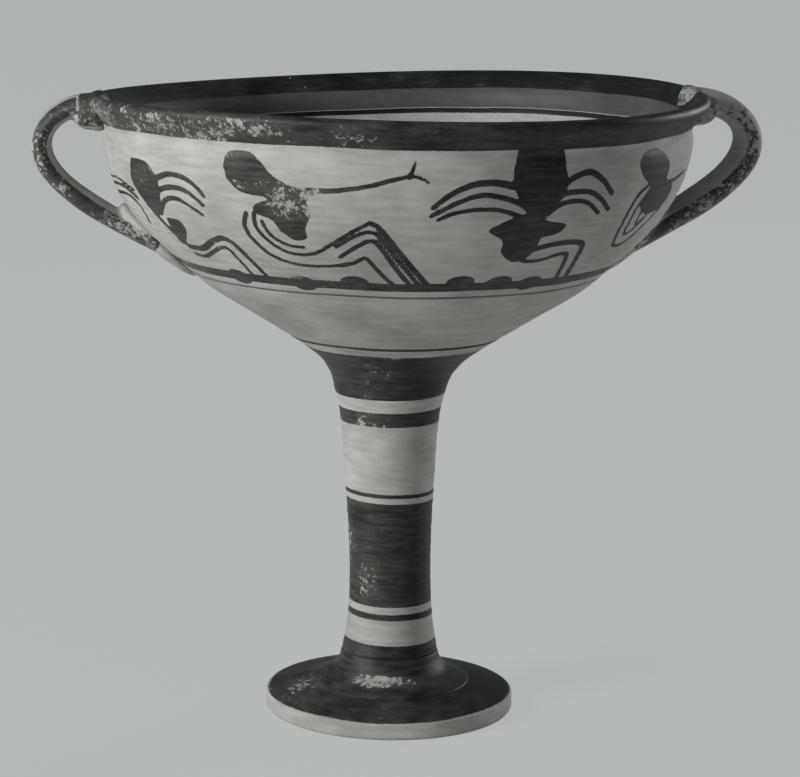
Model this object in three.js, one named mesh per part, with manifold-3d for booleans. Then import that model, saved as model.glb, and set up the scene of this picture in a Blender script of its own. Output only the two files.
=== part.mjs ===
// A tall footed bowl of fired clay with two strap handles, in millimetres, +Z up.
// The origin is on the ground under the middle of the foot, and +X points at the right handle.
// Every thrown piece turns about Z; the handles and the clay that lutes them on are cut to the bowl.
import * as THREE from "three";
import { mergeVertices } from "three/addons/utils/BufferGeometryUtils.js";
import Module from "manifold-3d";

// Clear distance between two pieces that meet
const SEAM = 0.3;

// Foot disc
const FOOT_RADIUS = 39.3;
const FOOT_EDGE = 5.2; // height of the outer edge
const FOOT_EDGE_ROUND = 0.9; // radius of the edge's two corners
const FOOT_SEAT_HEIGHT = 11; // where the stem stands on it
const FOOT_RING_WIDTH = 7; // flat ring that it rests on
const FOOT_HOLLOW = 4.4; // depth of the dished underside

// Stem
const STEM_LENGTH = 101.9; // from the foot's seat to the bowl's seat, less its seams
const STEM_BASE_RADIUS = 15.2;
const STEM_WAIST_RADIUS = 12.85;
const STEM_WAIST_HEIGHT = 35; // above the foot's seat
const STEM_MIDDLE_RADIUS = 14.2; // between the waist and the top
const STEM_TOP_RADIUS = 17.3;
const SPIGOT_STEP = 1.8; // how far the stem's two ends step in
const FOOT_SPIGOT = 7.2; // length of the lower stepped end
const BOWL_SPIGOT = 11; // length of the upper stepped end

// Bowl
const BOWL_DEPTH = 81.8; // from its seat to the top of the lip
const LIP_RADIUS = 95.3; // outside of the rolled lip
const LIP_OVERHANG = 4.8; // how far the lip stands out from the upright wall
const WALL_RADIUS = LIP_RADIUS - LIP_OVERHANG;
const LIP_FLARE = 7.5; // height over which the lip turns out
const WALL = 4; // thickness of the wall and of the lip
const FLOOR = 5.6; // thickness of the floor over the stem
const SEAT_RADIUS = 18; // flat underside over the stem

// Luted joints: the clay that fills the corners between the thrown pieces
const FOOT_COLLAR_RADIUS = 25.4;
const BOWL_COLLAR_RADIUS = 33.4;

// Handles: the middle line of each strap lies in an upright plane through the axis
const HANDLE_RISE = 1.2; // crown of the middle line, below the top of the lip
const HANDLE_DROP = 16; // from the top of the lip down to the outermost point
const HANDLE_ROOT_DROP = 49; // from the top of the lip down to the lower root
const HANDLE_ARM_SLOPE = 25; // slope of the lower arm, in degrees
const HANDLE_ARM = 25; // length over which the lower arm runs straight
const HANDLE_ENDS_FLARE = 1.3; // how much wider the strap is where it is luted on
const RIGHT_ANGLE = 3; // direction from the axis, in degrees
const RIGHT_REACH = 16; // middle line's outermost point, beyond the lip
const RIGHT_WIDTH = 19;
const RIGHT_THICKNESS = 8;
const LEFT_ANGLE = 177;
const LEFT_REACH = 14.4;
const LEFT_WIDTH = 18.5;
const LEFT_THICKNESS = 6.5;

// Smears of luting clay at the ends of each handle: half-sizes across, out and up
const RIM_SMEAR_ACROSS = 14;
const RIM_SMEAR_OUT = 5.8;
const RIM_SMEAR_UP = 7.6;
const RIM_SMEAR_DROP = 5.8; // from the top of the lip down to the smear's middle
const ROOT_SMEAR_ACROSS = 14.5;
const ROOT_SMEAR_OUT = 3.6;
const ROOT_SMEAR_UP = 17;

// Set of the vessel as it dried and fired
const RIM_LIFT = 1.5; // the rim stands higher at the right
const RIM_TWIST = 1.2; // and higher at the back right and front left
const RIM_TWIST_ANGLE = 6; // in degrees
const STEM_SWAY = 1.2; // the top of the stem stands to the left

// Fineness of the facets
const BOWL_FACETS = 48;
const STEM_FACETS = 32;
const HANDLE_STEPS = 22;
const STRAP_FACETS = 12;

// Levels up the axis
const STEM_FOOT_LEVEL = FOOT_SEAT_HEIGHT + SEAM;
const STEM_TOP_LEVEL = STEM_FOOT_LEVEL + STEM_LENGTH;
const BOWL_LEVEL = STEM_TOP_LEVEL + SEAM;
const RIM_LEVEL = BOWL_LEVEL + BOWL_DEPTH;
const FOOT_SHOULDER = STEM_FOOT_LEVEL + FOOT_SPIGOT;
const BOWL_SHOULDER = STEM_TOP_LEVEL - BOWL_SPIGOT;

const wasm = await Module();
wasm.setup();

const point = (radius, height) => new THREE.Vector2(radius, height);
const sample = (points, steps) => new THREE.SplineCurve(points).getPoints(steps);
const mix = THREE.MathUtils.lerp;
const ease = THREE.MathUtils.smoothstep;
const radians = THREE.MathUtils.degToRad;

// Colour and finish of each material
const clay = () => new THREE.MeshStandardMaterial({ color: 0xa9aaa0, roughness: 0.72, metalness: 0 });
const slip = () => new THREE.MeshStandardMaterial({ color: 0x33342e, roughness: 0.5, metalness: 0 });
const luting = () => new THREE.MeshStandardMaterial({ color: 0x8f9087, roughness: 0.78, metalness: 0 });

// The set of the fired clay, which moves every piece alike and leaves the foot flat on the ground
function settle(geometry) {
  const places = geometry.attributes.position;
  for (let i = 0; i < places.count; i += 1) {
    const x = places.getX(i);
    const y = places.getY(i);
    const z = places.getZ(i);
    const angle = Math.atan2(y, x) + radians(RIM_TWIST_ANGLE);
    const turn = RIM_LIFT * Math.cos(angle) + RIM_TWIST * Math.sin(2 * angle);
    const outward = ease(Math.hypot(x, y), 0, WALL_RADIUS);
    const lift = turn * outward * ease(z, BOWL_LEVEL, RIM_LEVEL);
    const rising = ease(z, FOOT_SHOULDER, BOWL_SHOULDER);
    const sway = -STEM_SWAY * rising * (1 - ease(z, BOWL_SHOULDER, BOWL_LEVEL + FLOOR));
    places.setXYZ(i, x + sway, y, z + lift);
  }
  return geometry;
}

// Turns an outline of radius against height about Z, and lets it settle
function turned(outline, facets) {
  const geometry = new THREE.LatheGeometry(outline, facets);
  geometry.rotateX(Math.PI / 2);
  return settle(geometry);
}

function solidOf(geometry) {
  const bare = geometry.clone();
  bare.deleteAttribute("normal");
  bare.deleteAttribute("uv");
  const merged = mergeVertices(bare, 1e-4);
  const vertProperties = new Float32Array(merged.attributes.position.array);
  const triVerts = new Uint32Array(merged.index.array);
  return new wasm.Manifold(new wasm.Mesh({ numProp: 3, vertProperties, triVerts }));
}

function geometryOf(solid) {
  const cut = solid.getMesh();
  const geometry = new THREE.BufferGeometry();
  geometry.setAttribute("position", new THREE.BufferAttribute(new Float32Array(cut.vertProperties), 3));
  geometry.setIndex(new THREE.BufferAttribute(new Uint32Array(cut.triVerts), 1));
  geometry.computeVertexNormals();
  return geometry;
}

// The main body of a cut solid, without the crumbs that the cut leaves inside the bowl
function mainBody(solid) {
  return solid.decompose().sort((a, b) => b.volume() - a.volume())[0];
}

// Outline of the bowl's outside, from the edge of its seat up to the lip
const LIP_ROUND = WALL / 2;
const LIP_MIDDLE = point(LIP_RADIUS - LIP_ROUND, RIM_LEVEL - LIP_ROUND);
const LIP_LEAN = radians(37); // the lip's outer face looks this far below level
// Shares of the way from the seat's edge to the upright wall, out and up
const BOWL_CURVE = [
  [0, 0],
  [0.11, 0.052],
  [0.214, 0.104],
  [0.396, 0.221],
  [0.568, 0.334],
  [0.703, 0.458],
  [0.833, 0.585],
  [0.921, 0.711],
  [0.972, 0.824],
  [1, 0.95],
];
const WALL_TOP = BOWL_DEPTH - WALL - LIP_FLARE;

function bowlOutside() {
  const points = BOWL_CURVE.map(([out, up]) =>
    point(mix(SEAT_RADIUS, WALL_RADIUS, out), BOWL_LEVEL + up * WALL_TOP));
  points.push(point(WALL_RADIUS, BOWL_LEVEL + WALL_TOP + 0.35 * LIP_FLARE));
  points.push(point(
    LIP_MIDDLE.x + LIP_ROUND * Math.cos(LIP_LEAN),
    LIP_MIDDLE.y - LIP_ROUND * Math.sin(LIP_LEAN)));
  return points;
}

// The same outline moved square to itself, by a distance that may change along it
function shifted(points, distance) {
  return points.map((p, i) => {
    const before = points[Math.max(i - 1, 0)];
    const after = points[Math.min(i + 1, points.length - 1)];
    const along = after.clone().sub(before).normalize();
    const by = distance(i / (points.length - 1));
    return point(p.x + along.y * by, p.y - along.x * by);
  });
}

// Outline of the whole bowl wall, grown on every side by a clearance
const OUTSIDE_STEPS = 19;
const LIP_STEPS = 5;
const COLLAR_STEPS = 26; // steps of the same curve under the bowl's collar
const FINE_STEPS = 76; // steps of the same curve where a radius is read from it
function bowlOutline(grow) {
  const skin = sample(bowlOutside(), OUTSIDE_STEPS);
  const outside = shifted(skin, () => grow);
  const inside = shifted(skin, (t) => -grow - mix(FLOOR, WALL, Math.min(1, 3 * t)));
  const lip = [];
  for (let i = 1; i < LIP_STEPS; i += 1) {
    const angle = -LIP_LEAN + (Math.PI * i) / LIP_STEPS;
    const round = LIP_ROUND + grow;
    lip.push(point(LIP_MIDDLE.x + round * Math.cos(angle), LIP_MIDDLE.y + round * Math.sin(angle)));
  }
  return [
    point(0, BOWL_LEVEL - grow),
    point(SEAT_RADIUS, BOWL_LEVEL - grow),
    ...outside.slice(1),
    ...lip,
    ...inside.reverse(),
    point(0, BOWL_LEVEL + FLOOR + grow),
  ];
}

// Everything above the bowl's inside and its lip
function insideSpace() {
  const outline = bowlOutline(SEAM);
  const outer = 1 + OUTSIDE_STEPS; // points before the lip
  const crown = outer + Math.floor(LIP_STEPS / 2);
  const edge = outline[crown];
  const over = RIM_LEVEL + 2 * RIM_SMEAR_UP;
  return [...outline.slice(crown).reverse(), point(edge.x, over), point(0, over)];
}

// Outline of the stem, whose stepped ends take the luting clay
function stemOutline() {
  const waist = STEM_FOOT_LEVEL + STEM_WAIST_HEIGHT;
  const side = sample([
    point(STEM_BASE_RADIUS, FOOT_SHOULDER),
    point(mix(STEM_WAIST_RADIUS, STEM_BASE_RADIUS, 0.42), mix(FOOT_SHOULDER, waist, 0.28)),
    point(mix(STEM_WAIST_RADIUS, STEM_BASE_RADIUS, 0.11), mix(FOOT_SHOULDER, waist, 0.57)),
    point(STEM_WAIST_RADIUS, waist),
    point(mix(STEM_WAIST_RADIUS, STEM_MIDDLE_RADIUS, 0.3), mix(waist, BOWL_SHOULDER, 0.25)),
    point(STEM_MIDDLE_RADIUS, mix(waist, BOWL_SHOULDER, 0.53)),
    point(mix(STEM_MIDDLE_RADIUS, STEM_TOP_RADIUS, 0.26), mix(waist, BOWL_SHOULDER, 0.76)),
    point(mix(STEM_MIDDLE_RADIUS, STEM_TOP_RADIUS, 0.62), mix(waist, BOWL_SHOULDER, 0.92)),
    point(STEM_TOP_RADIUS, BOWL_SHOULDER),
  ], 12);
  return [
    point(0, STEM_FOOT_LEVEL),
    point(STEM_BASE_RADIUS - SPIGOT_STEP, STEM_FOOT_LEVEL),
    point(STEM_BASE_RADIUS - SPIGOT_STEP, FOOT_SHOULDER),
    ...side,
    point(STEM_TOP_RADIUS - SPIGOT_STEP, BOWL_SHOULDER),
    point(STEM_TOP_RADIUS - SPIGOT_STEP, STEM_TOP_LEVEL),
    point(0, STEM_TOP_LEVEL),
  ];
}

// Height of the foot's sloping top at a radius outside its seat
function footTop(radius) {
  const share = (FOOT_RADIUS - radius) / (FOOT_RADIUS - STEM_BASE_RADIUS);
  return mix(FOOT_EDGE, FOOT_SEAT_HEIGHT, Math.pow(Math.max(share, 0), 0.86));
}

// Outline of the foot disc: dished under, a flat ring to rest on, and a sloping top
function footOutline() {
  const ringOuter = FOOT_RADIUS - FOOT_EDGE_ROUND;
  const ringInner = ringOuter - FOOT_RING_WIDTH;
  const outline = [];
  const dish = 5;
  for (let i = 0; i <= dish; i += 1) {
    const share = i / dish;
    outline.push(point(ringInner * share, FOOT_HOLLOW * (1 - share * share)));
  }
  for (let i = 0; i <= 2; i += 1) {
    const angle = radians(-90 + 45 * i);
    outline.push(point(
      ringOuter + FOOT_EDGE_ROUND * Math.cos(angle),
      FOOT_EDGE_ROUND + FOOT_EDGE_ROUND * Math.sin(angle)));
  }
  const shoulder = footTop(ringOuter);
  outline.push(point(FOOT_RADIUS, shoulder - FOOT_EDGE_ROUND));
  const slope = 4;
  for (let i = 0; i <= slope; i += 1) {
    const radius = mix(ringOuter, STEM_BASE_RADIUS, i / slope);
    outline.push(point(radius, footTop(radius)));
  }
  outline.push(point(0, FOOT_SEAT_HEIGHT));
  return outline;
}

// Ring of clay in the corner between the foot and the stem
function footCollarOutline() {
  const reach = FOOT_COLLAR_RADIUS - STEM_BASE_RADIUS;
  const low = footTop(FOOT_COLLAR_RADIUS) + SEAM;
  const high = FOOT_SHOULDER - SEAM;
  const hollow = sample([
    point(FOOT_COLLAR_RADIUS, low + SEAM),
    point(STEM_BASE_RADIUS + 0.56 * reach, mix(low, high, 0.24)),
    point(STEM_BASE_RADIUS + 0.27 * reach, mix(low, high, 0.43)),
    point(STEM_BASE_RADIUS + 0.08 * reach, mix(low, high, 0.72)),
    point(STEM_BASE_RADIUS, high),
  ], 8);
  const inner = STEM_BASE_RADIUS - SPIGOT_STEP + SEAM;
  const under = [];
  const steps = 4;
  for (let i = 0; i <= steps; i += 1) {
    const radius = mix(STEM_BASE_RADIUS, FOOT_COLLAR_RADIUS, i / steps);
    under.push(point(radius, footTop(radius) + SEAM));
  }
  return closed([point(inner, FOOT_SEAT_HEIGHT + SEAM), ...under, ...hollow, point(inner, high)]);
}

// Ring of clay in the corner between the stem and the bowl, flared like a trumpet
function bowlCollarOutline() {
  const skin = shifted(sample(bowlOutside(), COLLAR_STEPS), () => SEAM);
  const under = skin.filter((p) => p.x > SEAT_RADIUS && p.x < BOWL_COLLAR_RADIUS);
  const end = under[under.length - 1];
  const low = BOWL_SHOULDER + SEAM;
  const reach = end.x - STEM_TOP_RADIUS;
  const rise = end.y - SEAM - low;
  const flare = sample([
    point(STEM_TOP_RADIUS, low),
    point(STEM_TOP_RADIUS + 0.09 * reach, low + 0.27 * rise),
    point(STEM_TOP_RADIUS + 0.21 * reach, low + 0.44 * rise),
    point(STEM_TOP_RADIUS + 0.38 * reach, low + 0.61 * rise),
    point(STEM_TOP_RADIUS + 0.7 * reach, low + 0.82 * rise),
    point(end.x, end.y - SEAM),
  ], 10);
  const inner = STEM_TOP_RADIUS - SPIGOT_STEP + SEAM;
  const seat = BOWL_LEVEL - SEAM;
  return closed([point(inner, low), ...flare, ...under.reverse(), point(SEAT_RADIUS, seat), point(inner, seat)]);
}

function closed(points) {
  return [...points, points[0].clone()];
}

// Radius of the bowl's outside at a height
function bowlRadius(height) {
  const skin = sample(bowlOutside(), FINE_STEPS);
  const above = Math.max(1, skin.findIndex((p) => p.y >= height));
  const [a, b] = [skin[above - 1], skin[above]];
  return mix(a.x, b.x, (height - a.y) / (b.y - a.y));
}

// Middle line of a handle in its own plane, from inside the lip to inside the lower wall
function handleLine(handle) {
  const outermost = point(LIP_RADIUS + handle.reach, RIM_LEVEL - HANDLE_DROP);
  const start = point(LIP_RADIUS - LIP_ROUND, RIM_LEVEL - HANDLE_RISE - 0.6 * handle.thickness / 2);
  const rootHeight = RIM_LEVEL - HANDLE_ROOT_DROP;
  const root = point(bowlRadius(rootHeight) - WALL / 2, rootHeight);
  const arm = radians(HANDLE_ARM_SLOPE);
  const crown = 0.55 * handle.reach;
  const line = new THREE.CurvePath();
  line.add(new THREE.CubicBezierCurve(
    start,
    point(start.x + crown, start.y + 0.5),
    point(outermost.x, mix(outermost.y, start.y, 0.6)),
    outermost));
  line.add(new THREE.CubicBezierCurve(
    outermost,
    point(outermost.x, outermost.y - 0.72 * HANDLE_DROP),
    point(root.x + HANDLE_ARM * Math.cos(arm), root.y + HANDLE_ARM * Math.sin(arm)),
    root));
  return line;
}

// A strap of oval section along a handle's middle line, grown on every side by a clearance
function strap(handle, grow) {
  const line = handleLine(handle);
  const rings = [];
  for (let i = 0; i <= HANDLE_STEPS; i += 1) {
    const t = i / HANDLE_STEPS;
    const along = line.getPointAt(t);
    const ahead = line.getTangentAt(t);
    if (grow > 0 && (i === 0 || i === HANDLE_STEPS)) {
      along.addScaledVector(ahead, i === 0 ? -grow : grow);
    }
    const end = Math.max(1 - 5 * t, 0, 1 - 4.5 * (1 - t));
    const flare = mix(1, HANDLE_ENDS_FLARE, end * end);
    const halfWidth = (handle.width * flare) / 2 + grow;
    const halfThickness = handle.thickness / 2 + grow;
    const ring = [];
    for (let k = 0; k < STRAP_FACETS; k += 1) {
      const angle = (2 * Math.PI * k) / STRAP_FACETS;
      const across = halfWidth * Math.cos(angle);
      const through = halfThickness * Math.sin(angle);
      ring.push([along.x + ahead.y * through, across, along.y - ahead.x * through]);
    }
    rings.push(ring);
  }
  const geometry = lofted(rings);
  geometry.rotateZ(radians(handle.angle));
  return settle(geometry);
}

// One closed skin over rings of equal length, with flat ends
function lofted(rings) {
  const places = rings.flat(2);
  const sides = rings[0].length;
  const faces = [];
  for (let r = 0; r < rings.length - 1; r += 1) {
    for (let k = 0; k < sides; k += 1) {
      const a = r * sides + k;
      const b = r * sides + ((k + 1) % sides);
      faces.push(a, b + sides, b, a, a + sides, b + sides);
    }
  }
  const last = (rings.length - 1) * sides;
  for (let k = 1; k < sides - 1; k += 1) {
    faces.push(0, k, k + 1, last, last + k + 1, last + k);
  }
  const geometry = new THREE.BufferGeometry();
  geometry.setAttribute("position", new THREE.BufferAttribute(new Float32Array(places), 3));
  geometry.setIndex(faces);
  return geometry;
}

// A smear of clay: a squashed ball, tilted in the handle's plane
function smear(handle, halfSizes, radius, height, tilt) {
  const geometry = new THREE.SphereGeometry(1, 18, 12);
  geometry.scale(...halfSizes);
  geometry.rotateY(tilt);
  geometry.translate(radius, 0, height);
  geometry.rotateZ(radians(handle.angle));
  return settle(geometry);
}

const bowlWall = turned(bowlOutline(0), BOWL_FACETS);
const bowlCut = solidOf(turned(bowlOutline(SEAM), BOWL_FACETS));
const bowlSpace = solidOf(turned(insideSpace(), BOWL_FACETS));

const vessel = new THREE.Group();
function add(name, geometry, material) {
  const mesh = new THREE.Mesh(geometry, material);
  mesh.name = name;
  vessel.add(mesh);
}

add("foot_disc", turned(footOutline(), BOWL_FACETS), slip());
add("stem", turned(stemOutline(), STEM_FACETS), clay());
add("bowl", bowlWall, clay());
add("luting_stem_to_foot", turned(footCollarOutline(), STEM_FACETS), luting());
add("luting_stem_to_bowl", turned(bowlCollarOutline(), STEM_FACETS), slip());

const leftHandle = { angle: LEFT_ANGLE, reach: LEFT_REACH, width: LEFT_WIDTH, thickness: LEFT_THICKNESS };
const rightHandle = { angle: RIGHT_ANGLE, reach: RIGHT_REACH, width: RIGHT_WIDTH, thickness: RIGHT_THICKNESS };
const rimSmear = [RIM_SMEAR_OUT, RIM_SMEAR_ACROSS, RIM_SMEAR_UP];
const rootSmear = [ROOT_SMEAR_OUT, ROOT_SMEAR_ACROSS, ROOT_SMEAR_UP];

for (const [side, handle] of [["left", leftHandle], ["right", rightHandle]]) {
  const bar = solidOf(strap(handle, 0)).subtract(bowlCut);
  add(`handle_${side}`, geometryOf(mainBody(bar)), clay());

  const taken = solidOf(strap(handle, SEAM));
  const overRim = smear(handle, rimSmear, LIP_MIDDLE.x - LIP_ROUND, RIM_LEVEL - RIM_SMEAR_DROP, 0);
  const rimClay = solidOf(overRim).intersect(bowlSpace).subtract(taken);
  add(`luting_${side}_handle_to_rim`, geometryOf(mainBody(rimClay)), luting());

  const height = RIM_LEVEL - HANDLE_ROOT_DROP + 0.2 * ROOT_SMEAR_UP;
  const rise = 4;
  const steep = Math.atan2(bowlRadius(height + rise) - bowlRadius(height - rise), 2 * rise);
  const onWall = smear(handle, rootSmear, bowlRadius(height), height, steep);
  const rootClay = solidOf(onWall).subtract(bowlCut).subtract(taken);
  add(`luting_${side}_handle_to_wall`, geometryOf(mainBody(rootClay)), luting());
}

export default vessel;
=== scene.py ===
# The looks of a tall painted footed bowl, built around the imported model.
# Lengths here are millimetres in the model's frame, and become metres where a mesh is made.
import math

import bpy
import numpy as np
from mathutils import Matrix, Vector


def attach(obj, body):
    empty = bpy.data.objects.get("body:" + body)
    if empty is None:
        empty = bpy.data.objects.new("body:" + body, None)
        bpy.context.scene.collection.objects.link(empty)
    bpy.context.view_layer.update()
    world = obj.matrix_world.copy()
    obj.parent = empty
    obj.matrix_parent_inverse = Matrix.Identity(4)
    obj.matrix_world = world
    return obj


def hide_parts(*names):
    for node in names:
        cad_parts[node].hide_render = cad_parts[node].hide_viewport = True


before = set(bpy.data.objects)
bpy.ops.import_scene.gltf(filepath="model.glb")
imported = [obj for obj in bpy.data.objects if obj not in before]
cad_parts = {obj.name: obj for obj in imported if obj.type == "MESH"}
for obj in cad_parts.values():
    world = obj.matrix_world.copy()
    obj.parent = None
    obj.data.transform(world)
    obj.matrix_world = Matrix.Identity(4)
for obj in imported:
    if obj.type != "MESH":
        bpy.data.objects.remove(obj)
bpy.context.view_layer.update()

MM = 0.001

# The vessel's own sizes, as its solids have them
SEAM = 0.3
FOOT_RADIUS = 39.3
FOOT_EDGE = 5.2
FOOT_EDGE_ROUND = 0.9
FOOT_SEAT_HEIGHT = 11.0
FOOT_RING_WIDTH = 7.0
FOOT_HOLLOW = 4.4
STEM_LENGTH = 101.9
STEM_BASE_RADIUS = 15.2
STEM_WAIST_RADIUS = 12.85
STEM_WAIST_HEIGHT = 35.0
STEM_MIDDLE_RADIUS = 14.2
STEM_TOP_RADIUS = 17.3
SPIGOT_STEP = 1.8
FOOT_SPIGOT = 7.2
BOWL_SPIGOT = 11.0
BOWL_DEPTH = 81.8
WALL_RADIUS = 90.5
LIP_RADIUS = 95.3
LIP_FLARE = 7.5
WALL = 4.0
FLOOR = 5.6
SEAT_RADIUS = 18.0
FOOT_COLLAR_RADIUS = 25.4
BOWL_COLLAR_RADIUS = 33.4
HANDLE_RISE = 1.2
HANDLE_DROP = 16.0
HANDLE_ROOT_DROP = 49.0
HANDLE_ARM_SLOPE = 25.0
HANDLE_ARM = 25.0
HANDLE_ENDS_FLARE = 1.3
RIGHT_HANDLE = {"side": "right", "angle": 3.0, "reach": 16.0, "width": 19.0, "thickness": 8.0, "wear_and_light": 0.74}
LEFT_HANDLE = {"side": "left", "angle": 177.0, "reach": 14.4, "width": 18.5, "thickness": 6.5, "wear_and_light": 0.62}
RIM_LIFT = 1.5
RIM_TWIST = 1.2
RIM_TWIST_ANGLE = 6.0
STEM_SWAY = 1.2

STEM_FOOT_LEVEL = FOOT_SEAT_HEIGHT + SEAM
STEM_TOP_LEVEL = STEM_FOOT_LEVEL + STEM_LENGTH
BOWL_LEVEL = STEM_TOP_LEVEL + SEAM
RIM_LEVEL = BOWL_LEVEL + BOWL_DEPTH
FOOT_SHOULDER = STEM_FOOT_LEVEL + FOOT_SPIGOT
BOWL_SHOULDER = STEM_TOP_LEVEL - BOWL_SPIGOT
LIP_ROUND = WALL / 2
LIP_MIDDLE = (LIP_RADIUS - LIP_ROUND, RIM_LEVEL - LIP_ROUND)
LIP_LEAN = math.radians(37)
WALL_TOP = BOWL_DEPTH - WALL - LIP_FLARE
# Shares of the way from the seat's edge to the upright wall, out and up
BOWL_CURVE = [(0, 0), (0.11, 0.052), (0.214, 0.104), (0.396, 0.221), (0.568, 0.334),
              (0.703, 0.458), (0.833, 0.585), (0.921, 0.711), (0.972, 0.824), (1, 0.95)]

# The photograph's camera: place in millimetres before the turn, angles in degrees, lens in pixels
PHOTO_WIDTH = 800
PHOTO_HEIGHT = 777
CAMERA_TURN = -6.0
CAMERA_PLACE = (3.8, -840.2, 262.9)
CAMERA_YAW = 0.13
CAMERA_PITCH = -10.79
CAMERA_ROLL = 1.0
CAMERA_LENS = 2721.8

# Fineness of the meshes: points round a turned piece, and the step along its outline
BOWL_COLUMNS = 700
STEM_COLUMNS = 240
FOOT_COLUMNS = 300
LOWER_BOWL_STEP = 1.6
FRIEZE_STEP = 0.78
LIP_STEP = 1.0
INSIDE_STEP = 2.6
SIDE_STEP = 0.8
STRAP_SIDES = 40
MELT_SIZE = 0.6

# Depth of the throwing ridges, and their waves in radians to a millimetre of height
BOWL_RIDGES = 0.075
STEM_RIDGES = 0.07
COLLAR_RIDGES = 0.05
FOOT_RIDGES = 0.04
BROAD_WAVE = 0.83
MIDDLE_WAVE = 1.9
FINE_WAVE = 3.7
SMOOTH_CORE = 12  # no ridges nearer to the axis than about this

CLOSE_FIT = 0.05  # gap round the luting clay, which looks closed
FAR_OFF = -20.0  # the distance given to a place with no figure near it


def mix(a, b, share):
    """The value that lies a share of the way from a to b."""
    return a + (b - a) * share


def ease(value, low, high):
    """0 below low, 1 above high, and smooth between."""
    share = np.clip((value - low) / (high - low), 0, 1)
    return share * share * (3 - 2 * share)


def spline(points, steps):
    """Points on a smooth curve through the given ones, evenly spaced in the curve's own count."""
    points = np.asarray(points, float)
    place = np.linspace(0, len(points) - 1, steps + 1)
    index = np.minimum(place.astype(int), len(points) - 2)
    t = (place - index)[:, None]
    p0 = points[np.maximum(index - 1, 0)]
    p1 = points[index]
    p2 = points[index + 1]
    p3 = points[np.minimum(index + 2, len(points) - 1)]
    v0 = (p2 - p0) / 2
    v1 = (p3 - p1) / 2
    return (2 * p1 - 2 * p2 + v0 + v1) * t ** 3 + (-3 * p1 + 3 * p2 - 2 * v0 - v1) * t ** 2 + v0 * t + p1


def settle(places):
    """The set of the fired clay, as the solids have it."""
    x, y, z = places[..., 0], places[..., 1], places[..., 2]
    angle = np.arctan2(y, x) + math.radians(RIM_TWIST_ANGLE)
    turn = RIM_LIFT * np.cos(angle) + RIM_TWIST * np.sin(2 * angle)
    lift = turn * ease(np.hypot(x, y), 0, WALL_RADIUS) * ease(z, BOWL_LEVEL, RIM_LEVEL)
    rising = ease(z, FOOT_SHOULDER, BOWL_SHOULDER)
    sway = -STEM_SWAY * rising * (1 - ease(z, BOWL_SHOULDER, BOWL_LEVEL + FLOOR))
    return np.stack([x + sway, y, z + lift], -1)


def wheel_marks(height, angle, depth):
    """Throwing ridges: low rings that fade and drift round the pot."""
    middle = np.sin(height * MIDDLE_WAVE + 0.5 * np.sin(angle))
    broad = np.sin(height * BROAD_WAVE + 1.3 * np.cos(angle + 1))
    fine = np.sin(height * FINE_WAVE + 2 * np.sin(2 * angle))
    rings = middle + 0.7 * broad + 0.5 * fine
    return depth * rings * (0.7 + 0.3 * np.sin(2 * angle + height * 0.11))


# Outlines

def bowl_outside():
    """Points up the bowl's outside, from the edge of its seat to the lip."""
    points = [(mix(SEAT_RADIUS, WALL_RADIUS, out), BOWL_LEVEL + up * WALL_TOP) for out, up in BOWL_CURVE]
    points.append((WALL_RADIUS, BOWL_LEVEL + WALL_TOP + 0.35 * LIP_FLARE))
    points.append((LIP_MIDDLE[0] + LIP_ROUND * math.cos(LIP_LEAN),
                   LIP_MIDDLE[1] - LIP_ROUND * math.sin(LIP_LEAN)))
    return points


def shifted(points, by):
    """An outline moved square to itself."""
    before = np.vstack([points[:1], points[:-1]])
    after = np.vstack([points[1:], points[-1:]])
    along = after - before
    along /= np.linalg.norm(along, axis=1)[:, None]
    return points + np.stack([along[:, 1], -along[:, 0]], 1) * np.asarray(by)[..., None]


def respaced(points, step):
    """The same line with points at an even distance."""
    run = np.concatenate([[0], np.cumsum(np.linalg.norm(np.diff(points, axis=0), axis=1))])
    count = max(2, int(round(run[-1] / step)))
    even = np.linspace(0, run[-1], count + 1)
    return np.stack([np.interp(even, run, points[:, i]) for i in range(points.shape[1])], 1)


SKIN = spline(bowl_outside(), 400)


def bowl_radius(height):
    return np.interp(height, SKIN[:, 1], SKIN[:, 0])


def stem_side():
    waist = STEM_FOOT_LEVEL + STEM_WAIST_HEIGHT
    return spline([
        (STEM_BASE_RADIUS, FOOT_SHOULDER),
        (mix(STEM_WAIST_RADIUS, STEM_BASE_RADIUS, 0.42), mix(FOOT_SHOULDER, waist, 0.28)),
        (mix(STEM_WAIST_RADIUS, STEM_BASE_RADIUS, 0.11), mix(FOOT_SHOULDER, waist, 0.57)),
        (STEM_WAIST_RADIUS, waist),
        (mix(STEM_WAIST_RADIUS, STEM_MIDDLE_RADIUS, 0.3), mix(waist, BOWL_SHOULDER, 0.25)),
        (STEM_MIDDLE_RADIUS, mix(waist, BOWL_SHOULDER, 0.53)),
        (mix(STEM_MIDDLE_RADIUS, STEM_TOP_RADIUS, 0.26), mix(waist, BOWL_SHOULDER, 0.76)),
        (mix(STEM_MIDDLE_RADIUS, STEM_TOP_RADIUS, 0.62), mix(waist, BOWL_SHOULDER, 0.92)),
        (STEM_TOP_RADIUS, BOWL_SHOULDER),
    ], 160)


def foot_top(radius):
    share = (FOOT_RADIUS - radius) / (FOOT_RADIUS - STEM_BASE_RADIUS)
    return mix(FOOT_EDGE, FOOT_SEAT_HEIGHT, np.maximum(share, 0) ** 0.86)


# Meshes

ON_AXIS = 1e-6


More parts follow.
